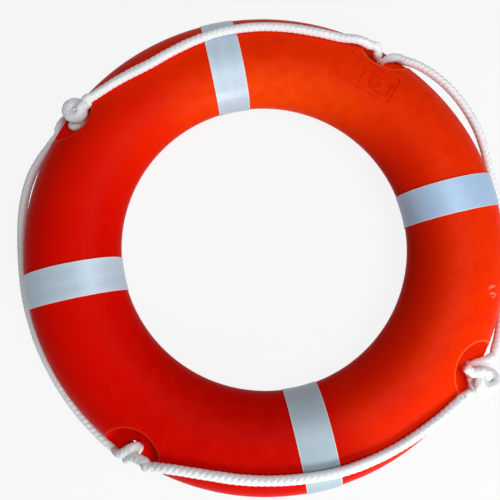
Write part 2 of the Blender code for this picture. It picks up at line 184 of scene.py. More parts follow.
topRoute = [
    (49.4, -0.0270, 0.0482), (51.0, -0.0298, 0.0526), (52.8, -0.0329, 0.0554), (57.0, -0.0384),
    (63.0, -0.0418), (71.0, -0.0430), (80.0, -0.0436), (90.0, -0.0468), (98.0, -0.0500),
    (106.0, -0.0536), (111.0, -0.0542), (116.0, -0.0504), (121.0, -0.0444), (125.0, -0.0390),
    (127.6, -0.0344),
]
leftRoute = [
    (141.2, 0.0080, -0.0040), (143.6, 0.0096, -0.0034), (146.6, 0.0124, -0.0024), (151.0, 0.0150, -0.0014),
    (156.0, 0.0150, -0.0016), (161.0, 0.0130, -0.0024), (167.0, 0.0102, -0.0046), (174.0, 0.0090, -0.0070),
    (182.0, 0.0088, -0.0082), (191.0, 0.0084, -0.0086), (199.0, 0.0080, -0.0084), (206.0, 0.0078, -0.0070),
    (212.0, 0.0078, -0.0050), (217.0, 0.0078, -0.0034), (220.2, 0.0078, -0.0020),
]
bottomRoute = [
    (231.2, -0.0186), (233.2, -0.0240), (235.8, -0.0292), (239.4, -0.0340), (244.0, -0.0376),
    (251.0, -0.0392), (259.0, -0.0396), (267.0, -0.0388), (275.0, -0.0358), (283.0, -0.0328),
    (290.0, -0.0298), (296.0, -0.0264), (301.0, -0.0222), (305.4, -0.0174),
]
rightRoute = [
    (321.6, 0.0120, 0.0090), (325.0, 0.0116, 0.0056), (331.0, 0.0094, 0.0016), (340.0, 0.0082, -0.0014),
    (350.0, 0.0086, -0.0034), (360.0, 0.0092, -0.0030), (366.0, 0.0116, 0.0010), (371.0, 0.0154, 0.0056),
    (376.0, 0.0180, 0.0106), (382.0, 0.0180, 0.0156), (388.0, 0.0158, 0.0194), (393.0, 0.0110, 0.0218),
    (397.0, 0.0054, 0.0228), (399.6, -0.0009, 0.0228),
]
topLeftKnot = {
    "before": [(130.3, -0.0296, 0.0468), (131.8, -0.0262, 0.0415), (133.1, -0.0293, 0.0386),
               (134.5, -0.0257, 0.0366), (135.0, -0.0155, 0.0352), (134.1, -0.0063, 0.0342),
               (132.6, -0.0034, 0.0332), (131.4, -0.0082, 0.0316), (131.1, -0.0144, 0.0290),
               (131.6, -0.0189, 0.0256), (132.6, -0.0224, 0.0226)],
    "after": [(134.2, -0.0249, 0.0212), (135.5, -0.0239, 0.0212), (136.3, -0.0206, 0.0212),
              (136.1, -0.0174, 0.0194), (135.5, -0.0165, 0.0130), (135.2, -0.0165, 0.0050),
              (135.2, -0.0165, -0.0070), (135.2, -0.0145, -0.0180), (135.1, -0.0080, -0.0216),
              (134.9, 0.0000, -0.0208), (134.8, 0.0075, -0.0165), (135.1, 0.0118, -0.0105),
              (136.3, 0.0124, -0.0062), (138.4, 0.0104, -0.0044)],
    "slotWidth": 0.0066, "width": 0.0087,
}
bottomLeftTurn = {
    "before": [(221.9, 0.0060, 0.0075), (222.6, 0.0030, 0.0160), (223.4, -0.0046, 0.0230),
               (224.0, -0.0129, 0.0265), (224.6, -0.0196, 0.0283), (225.3, -0.0226, 0.0270),
               (225.8, -0.0206, 0.0224), (225.75, -0.0174, 0.0150), (225.7, -0.0165, 0.0060),
               (225.7, -0.0165, -0.0080), (225.6, -0.0150, -0.0180), (225.4, -0.0089, -0.0218),
               (225.1, -0.0010, -0.0208), (224.8, 0.0048, -0.0146), (224.7, 0.0072, -0.0060),
               (224.7, 0.0066, 0.0040), (224.9, 0.0044, 0.0132), (225.25, -0.0024, 0.0228),
               (226.1, -0.0106, 0.0300), (227.4, -0.0142, 0.0352), (228.9, -0.0154, 0.0388)],
    "slotWidth": 0.0088,
}
topRightKnot = {
    "before": [(46.4, -0.0250, 0.0364), (46.1, -0.0236, 0.0296), (46.0, -0.0190, 0.0218),
               (45.85, -0.0165, 0.0110), (45.85, -0.0165, 0.0000), (45.85, -0.0165, -0.0120),
               (45.95, -0.0176, -0.0220), (45.8, -0.0204, -0.0296), (44.6, -0.0172, -0.0320)],
    "centre": (41.7, -0.0080, -0.0268), "opening": (-0.43, 0.9), "across": (0.9, 0.43), "flip": 1,
    "after": [(43.4, -0.0185, -0.0214), (44.1, -0.0168, -0.0180), (44.15, -0.0165, -0.0100),
              (44.15, -0.0165, 0.0000), (44.15, -0.0165, 0.0090), (44.05, -0.0160, 0.0176),
              (43.3, -0.0124, 0.0222)],
}
frontStopper = {
    "before": [(307.3, -0.0142, 0.0405), (308.9, -0.0060, 0.0310), (309.9, 0.0026, 0.0200),
               (310.6, 0.0068, 0.0080), (311.6, 0.0074, -0.0040), (312.6, 0.0052, -0.0146),
               (313.4, 0.0004, -0.0204), (314.0, -0.0064, -0.0224), (314.2, -0.0130, -0.0196),
               (314.15, -0.0165, -0.0080), (314.15, -0.0165, 0.0050), (314.15, -0.0169, 0.0146),
               (313.9, -0.0156, 0.0214), (313.5, -0.0116, 0.0246)],
    "centre": (313.9, 0.0034, 0.0308), "opening": (-1, 0), "across": (0, -1), "flip": -1,
    "after": [(313.9, -0.0180, 0.0364), (313.95, -0.0260, 0.0360), (314.15, -0.0310, 0.0346)],
}
backStopper = {
    "before": [(319.6, 0.0060, 0.0174), (318.4, -0.0006, 0.0218), (317.2, -0.0084, 0.0224),
               (316.05, -0.0153, 0.0196), (315.85, -0.0165, 0.0110), (315.85, -0.0165, -0.0090),
               (315.95, -0.0182, -0.0188), (316.7, -0.0244, -0.0226), (318.3, -0.0260, -0.0222)],
    "centre": (318.5, -0.0044, -0.0273), "opening": (-1, 0), "across": (0, 1), "flip": -1,
    "after": [(318.5, -0.0256, -0.0324), (319.7, -0.0286, -0.0318)],
}
knotShape = {"size": 0.0096, "ring": 1.24, "lobe": 0.58, "opened": 0.9, "steps": 30,
             "hub": ring["rim"] - 0.010}  # the circle that the flat of the line turns away from


def onRing(azimuth, radius, height):
    return Vector((radius * cos(radians(azimuth)), radius * sin(radians(azimuth)), ring["midPlane"] + height))


def routePoint(azimuth, outside, above=None):
    radius = ring["rim"] + outside
    if above is None:
        reach = line["halfThickness"] + line["gap"]
        if min(azimuth % 90, 90 - azimuth % 90) < line["bandReach"]:
            reach += line["band"]
        share = (radius - ring["radius"]) / (ring["halfWidth"] + reach)
        above = (ring["halfHeight"] + reach) * sqrt(1 - share * share)
    return onRing(azimuth, radius, above)


def runLengths(path):
    # How far along the path each of its points is.
    return np.concatenate([[0], np.cumsum(np.linalg.norm(np.diff(path, axis=0), axis=1))])


def smoothPath(points, step):
    # A centripetal Catmull-Rom curve through the points, at even steps.
    ends = [points[0] * 2 - points[1]] + list(points) + [points[-1] * 2 - points[-2]]
    fine = []
    for a, b, c, d in zip(ends, ends[1:], ends[2:], ends[3:]):
        t1 = max((b - a).length, 1e-6) ** 0.5
        t2 = t1 + max((c - b).length, 1e-6) ** 0.5
        t3 = t2 + max((d - c).length, 1e-6) ** 0.5
        for i in range(line["between"]):
            t = t1 + (t2 - t1) * i / line["between"]
            ab = a * ((t1 - t) / t1) + b * (t / t1)
            bc = b * ((t2 - t) / (t2 - t1)) + c * ((t - t1) / (t2 - t1))
            cd = c * ((t3 - t) / (t3 - t2)) + d * ((t - t2) / (t3 - t2))
            abc = ab * ((t2 - t) / t2) + bc * (t / t2)
            bcd = bc * ((t3 - t) / (t3 - t1)) + cd * ((t - t1) / (t3 - t1))
            fine.append(abc * ((t2 - t) / (t2 - t1)) + bcd * ((t - t1) / (t2 - t1)))
    fine = np.array([list(p) for p in fine] + [list(points[-1])])
    lengths = runLengths(fine)
    wanted = np.linspace(0, lengths[-1], max(8, round(lengths[-1] / step)) + 1)
    return np.stack([np.interp(wanted, lengths, fine[:, i]) for i in range(3)], axis=1)


def loopEnds(route):
    # The centres of a loop's two round ends, with the directions out of the loop.
    path = smoothPath([routePoint(*p) for p in route], line["chord"])
    ends = []
    for tip, before in ((path[0], path[1]), (path[-1], path[-2])):
        ends.append((Vector(tip), (Vector(tip) - Vector(before)).normalized()))
    return ends


def knotTurns(knot):
    # The crossing turns: part of a two-by-three torus knot, opened where the line comes and goes.
    if "centre" not in knot:
        return []
    centre = routePoint(*knot["centre"])
    azimuth = radians(knot["centre"][0])
    out = Vector((cos(azimuth), sin(azimuth), 0))
    onward = Vector((-sin(azimuth), cos(azimuth), 0))
    opening, across = ((out * v[0] + onward * v[1]).normalized() for v in (knot["opening"], knot["across"]))
    normal = opening.cross(across) * knot["flip"]
    big, small = knotShape["ring"] * knotShape["size"], knotShape["lobe"] * knotShape["size"]
    points = []
    for i in range(knotShape["steps"] + 1):
        turn = knotShape["opened"] + (4 * pi - 2 * knotShape["opened"]) * i / knotShape["steps"]
        reach = big + small * cos(1.5 * turn)
        points.append(centre + opening * reach * cos(turn) + across * reach * sin(turn)
                      + normal * small * sin(1.5 * turn))
    return points


def sectionFrames(path, hub):
    # A tangent and a normal for each point. The normal leads away from a circle of the given
    # radius about the ring's axis, and turns to it slowly where the line doubles back.
    tangents = np.gradient(path, axis=0)
    tangents /= np.linalg.norm(tangents, axis=1)[:, None]
    normals = []
    normal = None
    for point, tangent in zip(path, tangents):
        along = Vector(tangent)
        foot = Vector((point[0], point[1], 0)).normalized() * hub + Vector((0, 0, ring["midPlane"]))
        away = (Vector(point) - foot).normalized()
        away -= along * away.dot(along)
        normal = away if normal is None else normal + away * line["turnRate"]
        normal = (normal - along * normal.dot(along)).normalized()
        normals.append(list(normal))
    return tangents, np.array(normals)


def braidHeights(angles, lengths, phase):
    # Eight strands, four each way, that pass over two and under two. Gives the height of the
    # surface, and which way the upper strand runs.
    u = line["strands"] * angles / (2 * pi)
    v = lengths / line["pick"] + phase
    a, b = u + v, u - v
    i, j = np.floor(a), np.floor(b)
    riseA = np.cos(pi / 2 * ((i + b - 0.5) % 4 - 0.5))
    riseB = -np.cos(pi / 2 * ((j + a - 0.5) % 4 - 0.5))
    crownA = np.sqrt(np.clip(1 - (line["crownSlope"] * (a - i - 0.5)) ** 2, 0, 1))
    crownB = np.sqrt(np.clip(1 - (line["crownSlope"] * (b - j - 0.5)) ** 2, 0, 1))
    heightA = line["crown"] * crownA + line["float"] * riseA
    heightB = line["crown"] * crownB + line["float"] * riseB
    upper = heightA >= heightB
    return np.where(upper, heightA, heightB), upper


def braidedTube(name, path, halfWidths, halfThicknesses, hub, phase, look):
    # A closed tube with the braid's relief, and a UV map that runs along the upper strands.
    count, around = len(path), line["around"]
    tangents, normals = sectionFrames(path, hub)
    sides = np.cross(tangents, normals)
    lengths = runLengths(path)
    angles = 2 * pi * np.arange(around) / around
    turned = angles[None, :] + lengths[:, None] * line["twist"]
    relief, _ = braidHeights(turned, np.repeat(lengths[:, None], around, axis=1), phase)
    top = line["crown"] + line["float"]
    size = np.minimum(halfWidths, halfThicknesses)[:, None] / line["endRadius"]
    relief = (relief - top) * np.clip(size, 0, 1)
    offsets = (sides[:, None] * ((halfWidths[:, None] + relief) * np.cos(angles))[..., None]
               + normals[:, None] * ((halfThicknesses[:, None] + relief) * np.sin(angles))[..., None])
    vertices = (path[:, None] + offsets).reshape(-1, 3)
    first = np.arange(count - 1)[:, None] * around
    here = np.arange(around)[None, :]
    there = (here + 1) % around
    faces = np.stack([first + here, first + there, first + around + there, first + around + here], axis=-1)
    faces = faces.reshape(-1, 4)
    vertices = np.concatenate([vertices, path[:1], path[-1:]])
    last = (count - 1) * around
    caps = [(count * around, (k + 1) % around, k) for k in range(around)]
    caps += [(count * around + 1, last + k, last + (k + 1) % around) for k in range(around)]
    mesh = bpy.data.meshes.new(name)
    mesh.from_pydata(vertices.tolist(), [], faces.tolist() + caps)

    row = np.arange(count - 1)
    middleS = ((lengths[row] + lengths[row + 1]) / 2)[:, None] + 0 * angles[None, :]
    middleA = angles[None, :] + pi / around + middleS * line["twist"]
    _, upper = braidHeights(middleA, middleS, phase)
    places = []
    for dRow, dSide in ((0, 0), (0, 1), (1, 1), (1, 0)):
        s = lengths[row + dRow][:, None] + 0 * angles[None, :]
        angle = angles[None, :] + dSide * 2 * pi / around + s * line["twist"]
        u, v = line["strands"] * angle / (2 * pi), s / line["pick"] + phase
        along = np.where(upper, u + v, u - v)
        across = np.where(upper, u - v, u + v) + line["apart"] * upper
        places.append(np.stack([along, across], axis=-1))
    coordinates = np.stack(places, axis=2).reshape(-1, 2)
    coordinates = np.concatenate([coordinates, np.zeros((len(caps) * 3, 2))])
    layer = mesh.uv_layers.new(name="strands")
    layer.data.foreach_set("uv", coordinates.astype(np.float32).ravel())
    body = bmesh.new()
    body.from_mesh(mesh)
    bmesh.ops.recalc_face_normals(body, faces=body.faces)
    body.to_mesh(mesh)
    body.free()
    mesh.shade_smooth()
    mesh.materials.append(look)
    obj = bpy.data.objects.new(name, mesh)
    bpy.context.scene.collection.objects.link(obj)
    return obj


def lineMaterial():
    look = Look(bpy.data.materials.new("braidedLine"))
    strands = look.place("UV")
    space = look.place()
    yarns = look.noise(look.stretch(strands, line["yarns"]), 1.0, 3, 0.6)
    fuzz = look.noise(space, line["fuzz"], 3, 0.7)
    soil = look.noise(space, line["soil"], 5, 0.6)
    white = look.mix(look.fit(soil, 0.42, 0.70), line["clean"], line["soiled"])
    # Painted shade: darker where the yarn relief is low, in the braid's grooves.
    white = look.mix(look.fit(yarns, 0.28, 0.5, 0.45, 0.0), white, line["paintedGrooveShade"])
    height = yarns * 0.75 + fuzz * 0.25
    return look.give({"Base Color": white, "Roughness": look.fit(fuzz, 0.3, 0.7, 0.62, 0.82),
                      "Sheen Weight": line["sheen"], "Normal": look.bump(height, 0.0007, 0.8)})


lineLook = lineMaterial()


def addLoop(name, route, body, phase):
    # A loop with round ends, which swings about the line through their centres.
    ends = loopEnds(route)
    radius = line["endRadius"]
    points = [routePoint(*p) for p in route]
    points = [ends[0][0] + ends[0][1] * radius] + points + [ends[1][0] + ends[1][1] * radius]
    path = smoothPath(points, line["step"])
    lengths = runLengths(path)
    inwards = np.minimum(lengths, lengths[-1] - lengths)
    share = np.clip(1 - inwards / radius, 0, 1)
    cap = np.sqrt(np.clip(1 - share ** 2, line["tip"], 1))
    flat = np.clip((inwards - radius) / line["flatten"], 0, 1)
    wander = sum(size * np.sin(lengths * rate + phase * shift) for size, rate, shift in line["wander"])
    wide = cap * (radius + (line["halfWidth"] - radius) * flat) * (1 + wander)
    thick = cap * (radius + (line["halfThickness"] - radius) * flat)
    piece = braidedTube(name, path, wide, thick, ring["radius"], phase, lineLook)
    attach(piece, body)
    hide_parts(loopNodes[name])


def addKnot(name, knot, node, comes, goes, phase):
    # A length of the line that stays on the ring, from the end of one loop to the next.
    face, out = loopEnds(comes[0])[comes[1]]
    radius = line["endRadius"]
    points = [face, face + out * (radius + line["lead"])] + [routePoint(*p) for p in knot["before"]]
    points += knotTurns(knot) + [routePoint(*p) for p in knot.get("after", [])]
    if goes:
        face, out = loopEnds(goes[0])[goes[1]]
        points += [face + out * (radius + line["lead"]), face]
    path = smoothPath(points, line["step"])
    lengths = runLengths(path)
    outside = np.hypot(path[:, 0], path[:, 1]) - ring["rim"]
    above = np.abs(path[:, 2] - ring["midPlane"])
    squeeze = np.clip((line["slotHeight"] - above) / line["heightFade"], 0, 1)
    squeeze *= np.clip((-line["slotInset"] - outside) / line["insetFade"], 0, 1)
    broad = knot.get("width", line["knotWidth"])
    narrow = knot.get("slotWidth", line["slotWidth"])
    wide = broad + (narrow - broad) * squeeze
    thick = line["knotThickness"] + (line["slotThickness"] - line["knotThickness"]) * squeeze
    ends = [lengths, lengths[-1] - lengths] if goes else [lengths]
    for fromEnd in ends:
        swell = np.clip(1 - (fromEnd - line["swellFrom"]) / line["swell"], 0, 1) ** 1.5
        wide += (radius - line["tuckWide"] - wide) * swell
        thick += (radius - line["tuckThick"] - thick) * swell
    if not goes:
        melted = np.clip(1 - (lengths[-1] - lengths) / line["seal"], 0, 1)
        seal = np.sqrt(np.clip(1 - melted ** 2, line["tip"], 1))
        wide, thick = wide * seal, thick * seal
    piece = braidedTube(name, path, wide, thick, knotShape["hub"], phase, lineLook)
    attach(piece, "ring")
    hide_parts(node)


loopNodes = {"topLoop": "grab_line_top", "leftLoop": "grab_line_left",
             "bottomLoop": "grab_line_bottom", "rightLoop": "grab_line_right"}
addLoop("topLoop", topRoute, "top_loop", 0.0)
addLoop("leftLoop", leftRoute, "left_loop", 0.3)
addLoop("bottomLoop", bottomRoute, "bottom_loop", 0.7)
addLoop("rightLoop", rightRoute, "right_loop", 0.1)
addKnot("topLeftKnot", topLeftKnot, "line_knot_top_left", (topRoute, 1), (leftRoute, 0), 0.2)
addKnot("bottomLeftTurn", bottomLeftTurn, "line_knot_bottom_left", (leftRoute, 1), (bottomRoute, 0), 0.5)
addKnot("topRightKnot", topRightKnot, "line_knot_top_right", (topRoute, 0), (rightRoute, 1), 0.8)
addKnot("frontStopper", frontStopper, "line_stopper_front", (bottomRoute, 1), None, 0.4)
addKnot("backStopper", backStopper, "line_stopper_back", (rightRoute, 0), None, 0.6)
print("grab line made")


# Shells

shell = {
    "wall": 0.0035, "weldGap": 0.0003, "around": 480, "section": 96, "corners": (45, 135, 225, 315),
    "recessMouth": 0.0476, "recessFloor": 0.043, "recessInset": 0.0026, "recessRise": 0.006,
    "web": 0.030, "floorFillet": 0.005, "postSides": 128,
    "slotInset": 0.0165, "slotWidth": 0.015, "slotLength": 0.022, "slotDepth": 0.06, "slotSides": 64,
    "lip": 0.0013, "lipMerge": 0.0007, "lipAngle": 24, "lipNear": 0.006, "lipFrom": 0.010,
    "speck": 0.00001,  # less than this counts as nothing
    # Besides the moulded colour, its random tones and its scuffs, these colours paint light and shade: a lit
    # side, shade at the bottom left and low in the hole, highlights on the hole's top slope and the recess
    # lips, shade on the panel's lines, and a highlight in the rubbed spot.
    "plain": (0.79, 0.0032, 0.0002), "paintedLitSide": (0.88, 0.031, 0.0006), "paintedShadeLowLeft": (0.56, 0.0012, 0.0001),
    "paintedSlopeHighlight": (0.99, 0.085, 0.003), "inner": (0.52, 0.0008, 0.0001), "mottled": (0.72, 0.010, 0.0003),
    "scuffed": (0.90, 0.12, 0.05), "rubbedAndGlossy": (0.86, 0.30, 0.22), "paintedPanelShade": (0.40, 0.006, 0.0002),
    "paintedLipHighlight": (0.98, 0.17, 0.02), "lipHighlightWidth": (0.0006, 0.0022), "rubAndGlossPlace": (0.2965, -0.1458, 0.0978),
    "rubGrain": (30, 200, 90), "patches": 5, "mottle": 60, "grain": 1400, "peel": 90, "specular": 0.02,
}
panel = {
    "length": 0.088, "width": 0.041, "depth": 0.0010, "inset": 0.005, "corner": 0.004, "azimuth": 45,
    "cell": (-0.0138, -0.0030, 0.0456, 0.0220), "rib": 0.0014, "emblem": (-0.0124, -0.0030),
    "rings": (0.0092, 0.0052), "bar": (-0.0398, -0.0030, 0.0220), "dot": (0.0146, -0.0150, 0.0018),
    "slab": 0.012, "post": 0.02, "disc": 0.03, "discSides": 48,  # the solids that cut it
    "edge": (0.0004, 0.0012), "hoopEdge": (0.0003, 0.0010), "clear": 0.0005,
}


def choose(obj, test, kind="FACE"):
    # Leaves selected, in edit mode, just the faces, edges or vertices whose middle passes the test.
    bpy.ops.object.mode_set(mode="EDIT")
    bpy.ops.mesh.select_mode(type=kind)
    bpy.ops.mesh.select_all(action="DESELECT")
    body = bmesh.from_edit_mesh(obj.data)
    parts = {"FACE": body.faces, "EDGE": body.edges, "VERT": body.verts}[kind]
    for part in parts:
        if kind == "VERT":
            middle, normal = part.co, part.normal
        elif kind == "EDGE":
            middle, normal = (part.verts[0].co + part.verts[1].co) / 2, None
        else:
            middle, normal = part.calc_center_median(), part.normal
        part.select_set(test(middle, normal))
    body.select_flush_mode()
    bmesh.update_edit_mesh(obj.data)


def atHeight(place, height):
    return abs(place.z - height) < shell["speck"]


def toObject():
    bpy.ops.object.mode_set(mode="OBJECT")


def settle():
    # Puts the place of the primitive that was just added into its mesh.
    bpy.ops.object.transform_apply(location=True, rotation=True, scale=True)
    return bpy.context.active_object


def applyAll(obj):
    bpy.context.view_layer.objects.active = obj
    for modifier in list(obj.modifiers):
        bpy.ops.object.modifier_apply(modifier=modifier.name)


def carve(obj, cutter, operation="DIFFERENCE"):
    modifier = obj.modifiers.new("carve", "BOOLEAN")
    modifier.operation = operation
    modifier.solver = "EXACT"
    modifier.object = cutter
    applyAll(obj)
    bpy.data.objects.remove(cutter, do_unlink=True)


def addTube(name, grow):
    # The whole ring's oval tube, grown outwards by a distance.
    bpy.ops.object.select_all(action="DESELECT")
    middle = (0, 0, ring["midPlane"])
    width = ring["halfWidth"] + grow
    bpy.ops.mesh.primitive_torus_add(major_segments=shell["around"], minor_segments=shell["section"],
                                     major_radius=ring["radius"], minor_radius=width, location=middle)
    tube = settle()
    tube.name = name
    bpy.ops.object.mode_set(mode="EDIT")
    bpy.ops.mesh.select_all(action="SELECT")
    bpy.ops.transform.resize(value=(1, 1, (ring["halfHeight"] + grow) / width), center_override=middle)
    toObject()
    return tube


def keepBeyond(obj, point, normal):
    bpy.ops.object.mode_set(mode="EDIT")
    bpy.ops.mesh.select_all(action="SELECT")
    bpy.ops.mesh.bisect(plane_co=point, plane_no=normal, clear_inner=True)
    toObject()


def joinAll(objects, name):
    bpy.ops.object.select_all(action="DESELECT")
    for obj in objects:
        obj.select_set(True)
    bpy.context.view_layer.objects.active = objects[0]
    bpy.ops.object.join()
    objects[0].name = name
    return settle()


def recessCutters(side):
    # Four tapered posts whose lower edges are rounded into the recesses' floors.
    made = []
    low, high = shell["web"] / 2, ring["halfHeight"] + shell["recessRise"]
    for azimuth in shell["corners"]:
        foot = onRing(azimuth, ring["rim"] - shell["recessInset"], side * (low + high) / 2)
        bpy.ops.object.select_all(action="DESELECT")
        radii = (shell["recessFloor"], shell["recessMouth"])[::side]
        bpy.ops.mesh.primitive_cone_add(vertices=shell["postSides"], radius1=radii[0],
                                        radius2=radii[1], depth=high - low, location=foot)
        post = settle()
        floor = ring["midPlane"] + side * low
        choose(post, lambda middle, _: atHeight(middle, floor), "EDGE")
        bpy.ops.mesh.bevel(offset=shell["floorFillet"], segments=6, affect="EDGES")
        toObject()
        made.append(post)
    return joinAll(made, "recessCutters")


def slotCutters():
    made = []
    shift = (shell["slotLength"] - shell["slotWidth"]) / 2
    for azimuth in shell["corners"]:
        centre = onRing(azimuth, ring["rim"] - shell["slotInset"], 0)
        along = Vector((-sin(radians(azimuth)), cos(radians(azimuth)), 0))
        bpy.ops.object.select_all(action="DESELECT")
        bpy.ops.mesh.primitive_cylinder_add(vertices=shell["slotSides"], radius=shell["slotWidth"] / 2,
                                            depth=shell["slotDepth"], location=centre,
                                            rotation=(0, 0, radians(azimuth)))
        post = settle()
        for way in (1, -1):
            choose(post, lambda middle, _: (middle - centre).dot(along) * way > shell["speck"], "VERT")
            bpy.ops.transform.translate(value=along * way * shift)
            toObject()
        made.append(post)
    return joinAll(made, "slotCutters")


def addBlock(centre, azimuth, size):
    bpy.ops.object.select_all(action="DESELECT")
    bpy.ops.mesh.primitive_cube_add(size=1, location=centre, rotation=(0, 0, radians(azimuth)), scale=size)
    return settle()


def addDisc(centre, radius):
    bpy.ops.object.select_all(action="DESELECT")
    bpy.ops.mesh.primitive_cylinder_add(vertices=panel["discSides"], radius=radius,
                                        depth=panel["disc"], location=centre)
    return settle()


def panelCutter():
    # A rounded slab over the crown, hollowed from below by the tube sunk a little, so that it
    # takes an even depth off the curved face. The ribs are left standing.
    azimuth, rib = panel["azimuth"], panel["rib"]
    centre = onRing(azimuth, ring["radius"] - panel["inset"], ring["halfHeight"])
    across = onRing(azimuth, 1, 0) - onRing(azimuth, 0, 0)
    along = onRing(azimuth + 90, 1, 0) - onRing(azimuth, 0, 0)
    slab = addBlock(centre, azimuth, (panel["width"], panel["length"], panel["slab"]))
    choose(slab, lambda middle, _: atHeight(middle, centre.z), "EDGE")
    bpy.ops.mesh.bevel(offset=panel["corner"], segments=8, affect="EDGES")
    toObject()
    shift, side, length, width = panel["cell"]
    place = centre + along * shift + across * side
    cell = addBlock(place, azimuth, (width, length, panel["post"]))
    carve(cell, addBlock(place, azimuth, (width - 2 * rib, length - 2 * rib, panel["disc"])))
    place = centre + along * panel["emblem"][0] + across * panel["emblem"][1]
    standing = [cell]
    for radius in panel["rings"]:
        hoop = addDisc(place, radius)
        carve(hoop, addDisc(place, radius - rib))
        standing.append(hoop)
    place = centre + along * panel["bar"][0] + across * panel["bar"][1]
    standing.append(addBlock(place, azimuth, (panel["bar"][2], rib, panel["post"])))
    place = centre + along * panel["dot"][0] + across * panel["dot"][1]
    standing.append(addDisc(place, panel["dot"][2]))
    for piece in standing:
        carve(slab, piece)
    carve(slab, addTube("sunkTube", -panel["depth"]))
    return slab


def isLip(middle):
    # On the tube's own surface, at a recess, away from the weld, the slots and the panel.
    radius = sqrt(middle.x ** 2 + middle.y ** 2)
    above = middle.z - ring["midPlane"]
    oval = sqrt(((radius - ring["radius"]) / ring["halfWidth"]) ** 2 + (above / ring["halfHeight"]) ** 2)
    panelSide = ring["radius"] - panel["inset"] + panel["width"] / 2
    onTube = abs(oval - 1) < shell["lipNear"] and abs(above) > shell["lipFrom"]
    return onTube and radius > panelSide + panel["clear"]


def roundLips(obj):
    # Rounds the outer edges of the recesses.
    bpy.context.view_layer.objects.active = obj
    for last in (False, True):
        bpy.ops.object.mode_set(mode="EDIT")
        bpy.ops.mesh.select_mode(type="EDGE")
        bpy.ops.mesh.select_all(action="DESELECT")
        body = bmesh.from_edit_mesh(obj.data)
        for edge in body.edges:
            middle = (edge.verts[0].co + edge.verts[1].co) / 2
            sharp = len(edge.link_faces) == 2 and edge.calc_face_angle(0) > radians(shell["lipAngle"])
            edge.select_set(sharp and isLip(middle))
        body.select_flush_mode()
        bmesh.update_edit_mesh(obj.data)
        if last:
            bpy.ops.mesh.bevel(offset=shell["lip"], segments=4, affect="EDGES", clamp_overlap=False)
        else:
            bpy.ops.mesh.select_mode(type="VERT")
            bpy.ops.mesh.remove_doubles(threshold=shell["lipMerge"])
        toObject()


def halfShell(name, side, look):
    half = addTube(name, 0.0)
    weld = ring["midPlane"] + side * shell["weldGap"] / 2
    keepBeyond(half, (0, 0, weld), (0, 0, side))
    bpy.ops.object.mode_set(mode="EDIT")
    bpy.ops.mesh.select_mode(type="EDGE")
    bpy.ops.mesh.select_all(action="DESELECT")
    bpy.ops.mesh.select_non_manifold()
    bpy.ops.mesh.bridge_edge_loops()
    bpy.ops.mesh.select_all(action="SELECT")
    bpy.ops.mesh.normals_make_consistent(inside=False)
    toObject()
    carve(half, recessCutters(side))
    carve(half, slotCutters())
    if side > 0:
        carve(half, panelCutter())
    choose(half, lambda middle, normal: atHeight(middle, weld) and abs(normal.z) > 0.9)
    bpy.ops.mesh.delete(type="FACE")
    toObject()
    modifier = half.modifiers.new("wall", "SOLIDIFY")
    modifier.thickness = shell["wall"]
    modifier.offset = -1
    applyAll(half)
    roundLips(half)
    bpy.ops.object.mode_set(mode="EDIT")
    bpy.ops.mesh.select_all(action="SELECT")
    bpy.ops.mesh.dissolve_degenerate(threshold=shell["speck"])
    toObject()
    finish(half, look)
    return half


def finish(obj, look, angle=32):
    bpy.ops.object.select_all(action="DESELECT")
    obj.select_set(True)
    bpy.context.view_layer.objects.active = obj
    bpy.ops.object.shade_smooth_by_angle(angle=radians(angle))
    obj.data.materials.clear()
    obj.data.materials.append(look)


def boxLine(look, along, across, shift, side, length, width):
    # One on a rectangle's outline, and none elsewhere.
    beyond = look.maths("MAXIMUM", look.maths("ABSOLUTE", along - shift) - length / 2,
                        look.maths("ABSOLUTE", across - side) - width / 2)
    return look.fit(look.maths("ABSOLUTE", beyond), *panel["edge"], 1.0, 0.0)


def panelEdges(look, x, y, z):
    # One on the label panel's edge lines, where painted shade goes, and none elsewhere.
    turn = radians(panel["azimuth"])
    across = x * cos(turn) + y * sin(turn) - (ring["radius"] - panel["inset"])
    along = y * cos(turn) - x * sin(turn)
    lines = [boxLine(look, along, across, 0, 0, panel["length"], panel["width"]),
             boxLine(look, along, across, *panel["cell"])]
    reach = ((along - panel["emblem"][0]) ** 2 + (across - panel["emblem"][1]) ** 2) ** 0.5
    for radius in panel["rings"]:
        lines.append(look.fit(look.maths("ABSOLUTE", reach - radius), *panel["hoopEdge"], 0.8, 0.0))
    found = lines[0]
    for more in lines[1:]:
        found = look.maths("MAXIMUM", found, more)
    return found * look.fit(z, ring["midPlane"] + 0.030, ring["midPlane"] + 0.034)


def lipEdges(look, x, y, z):
    # One on the rounded outer edges of the four recesses, where a paler painted highlight goes.
    centre = (ring["rim"] - shell["recessInset"]) * cos(pi / 4)
    above = look.maths("ABSOLUTE", z - ring["midPlane"])
    depth = ring["halfHeight"] + shell["recessRise"] - shell["web"] / 2
    taper = (shell["recessMouth"] - shell["recessFloor"]) / depth
    edge = (above - shell["web"] / 2) * taper + (shell["recessFloor"] + shell["lip"] / 2)
    reach = ((look.maths("ABSOLUTE", x) - centre) ** 2 + (look.maths("ABSOLUTE", y) - centre) ** 2) ** 0.5
    oval = (((x ** 2 + y ** 2) ** 0.5 - ring["radius"]) / ring["halfWidth"]) ** 2
    oval = oval + (above / ring["halfHeight"]) ** 2
    near = look.fit(look.maths("ABSOLUTE", reach - edge), *shell["lipHighlightWidth"], 1.0, 0.0)
    return near * look.fit(oval, 0.94, 0.98) * look.fit(above, 0.008, 0.016)


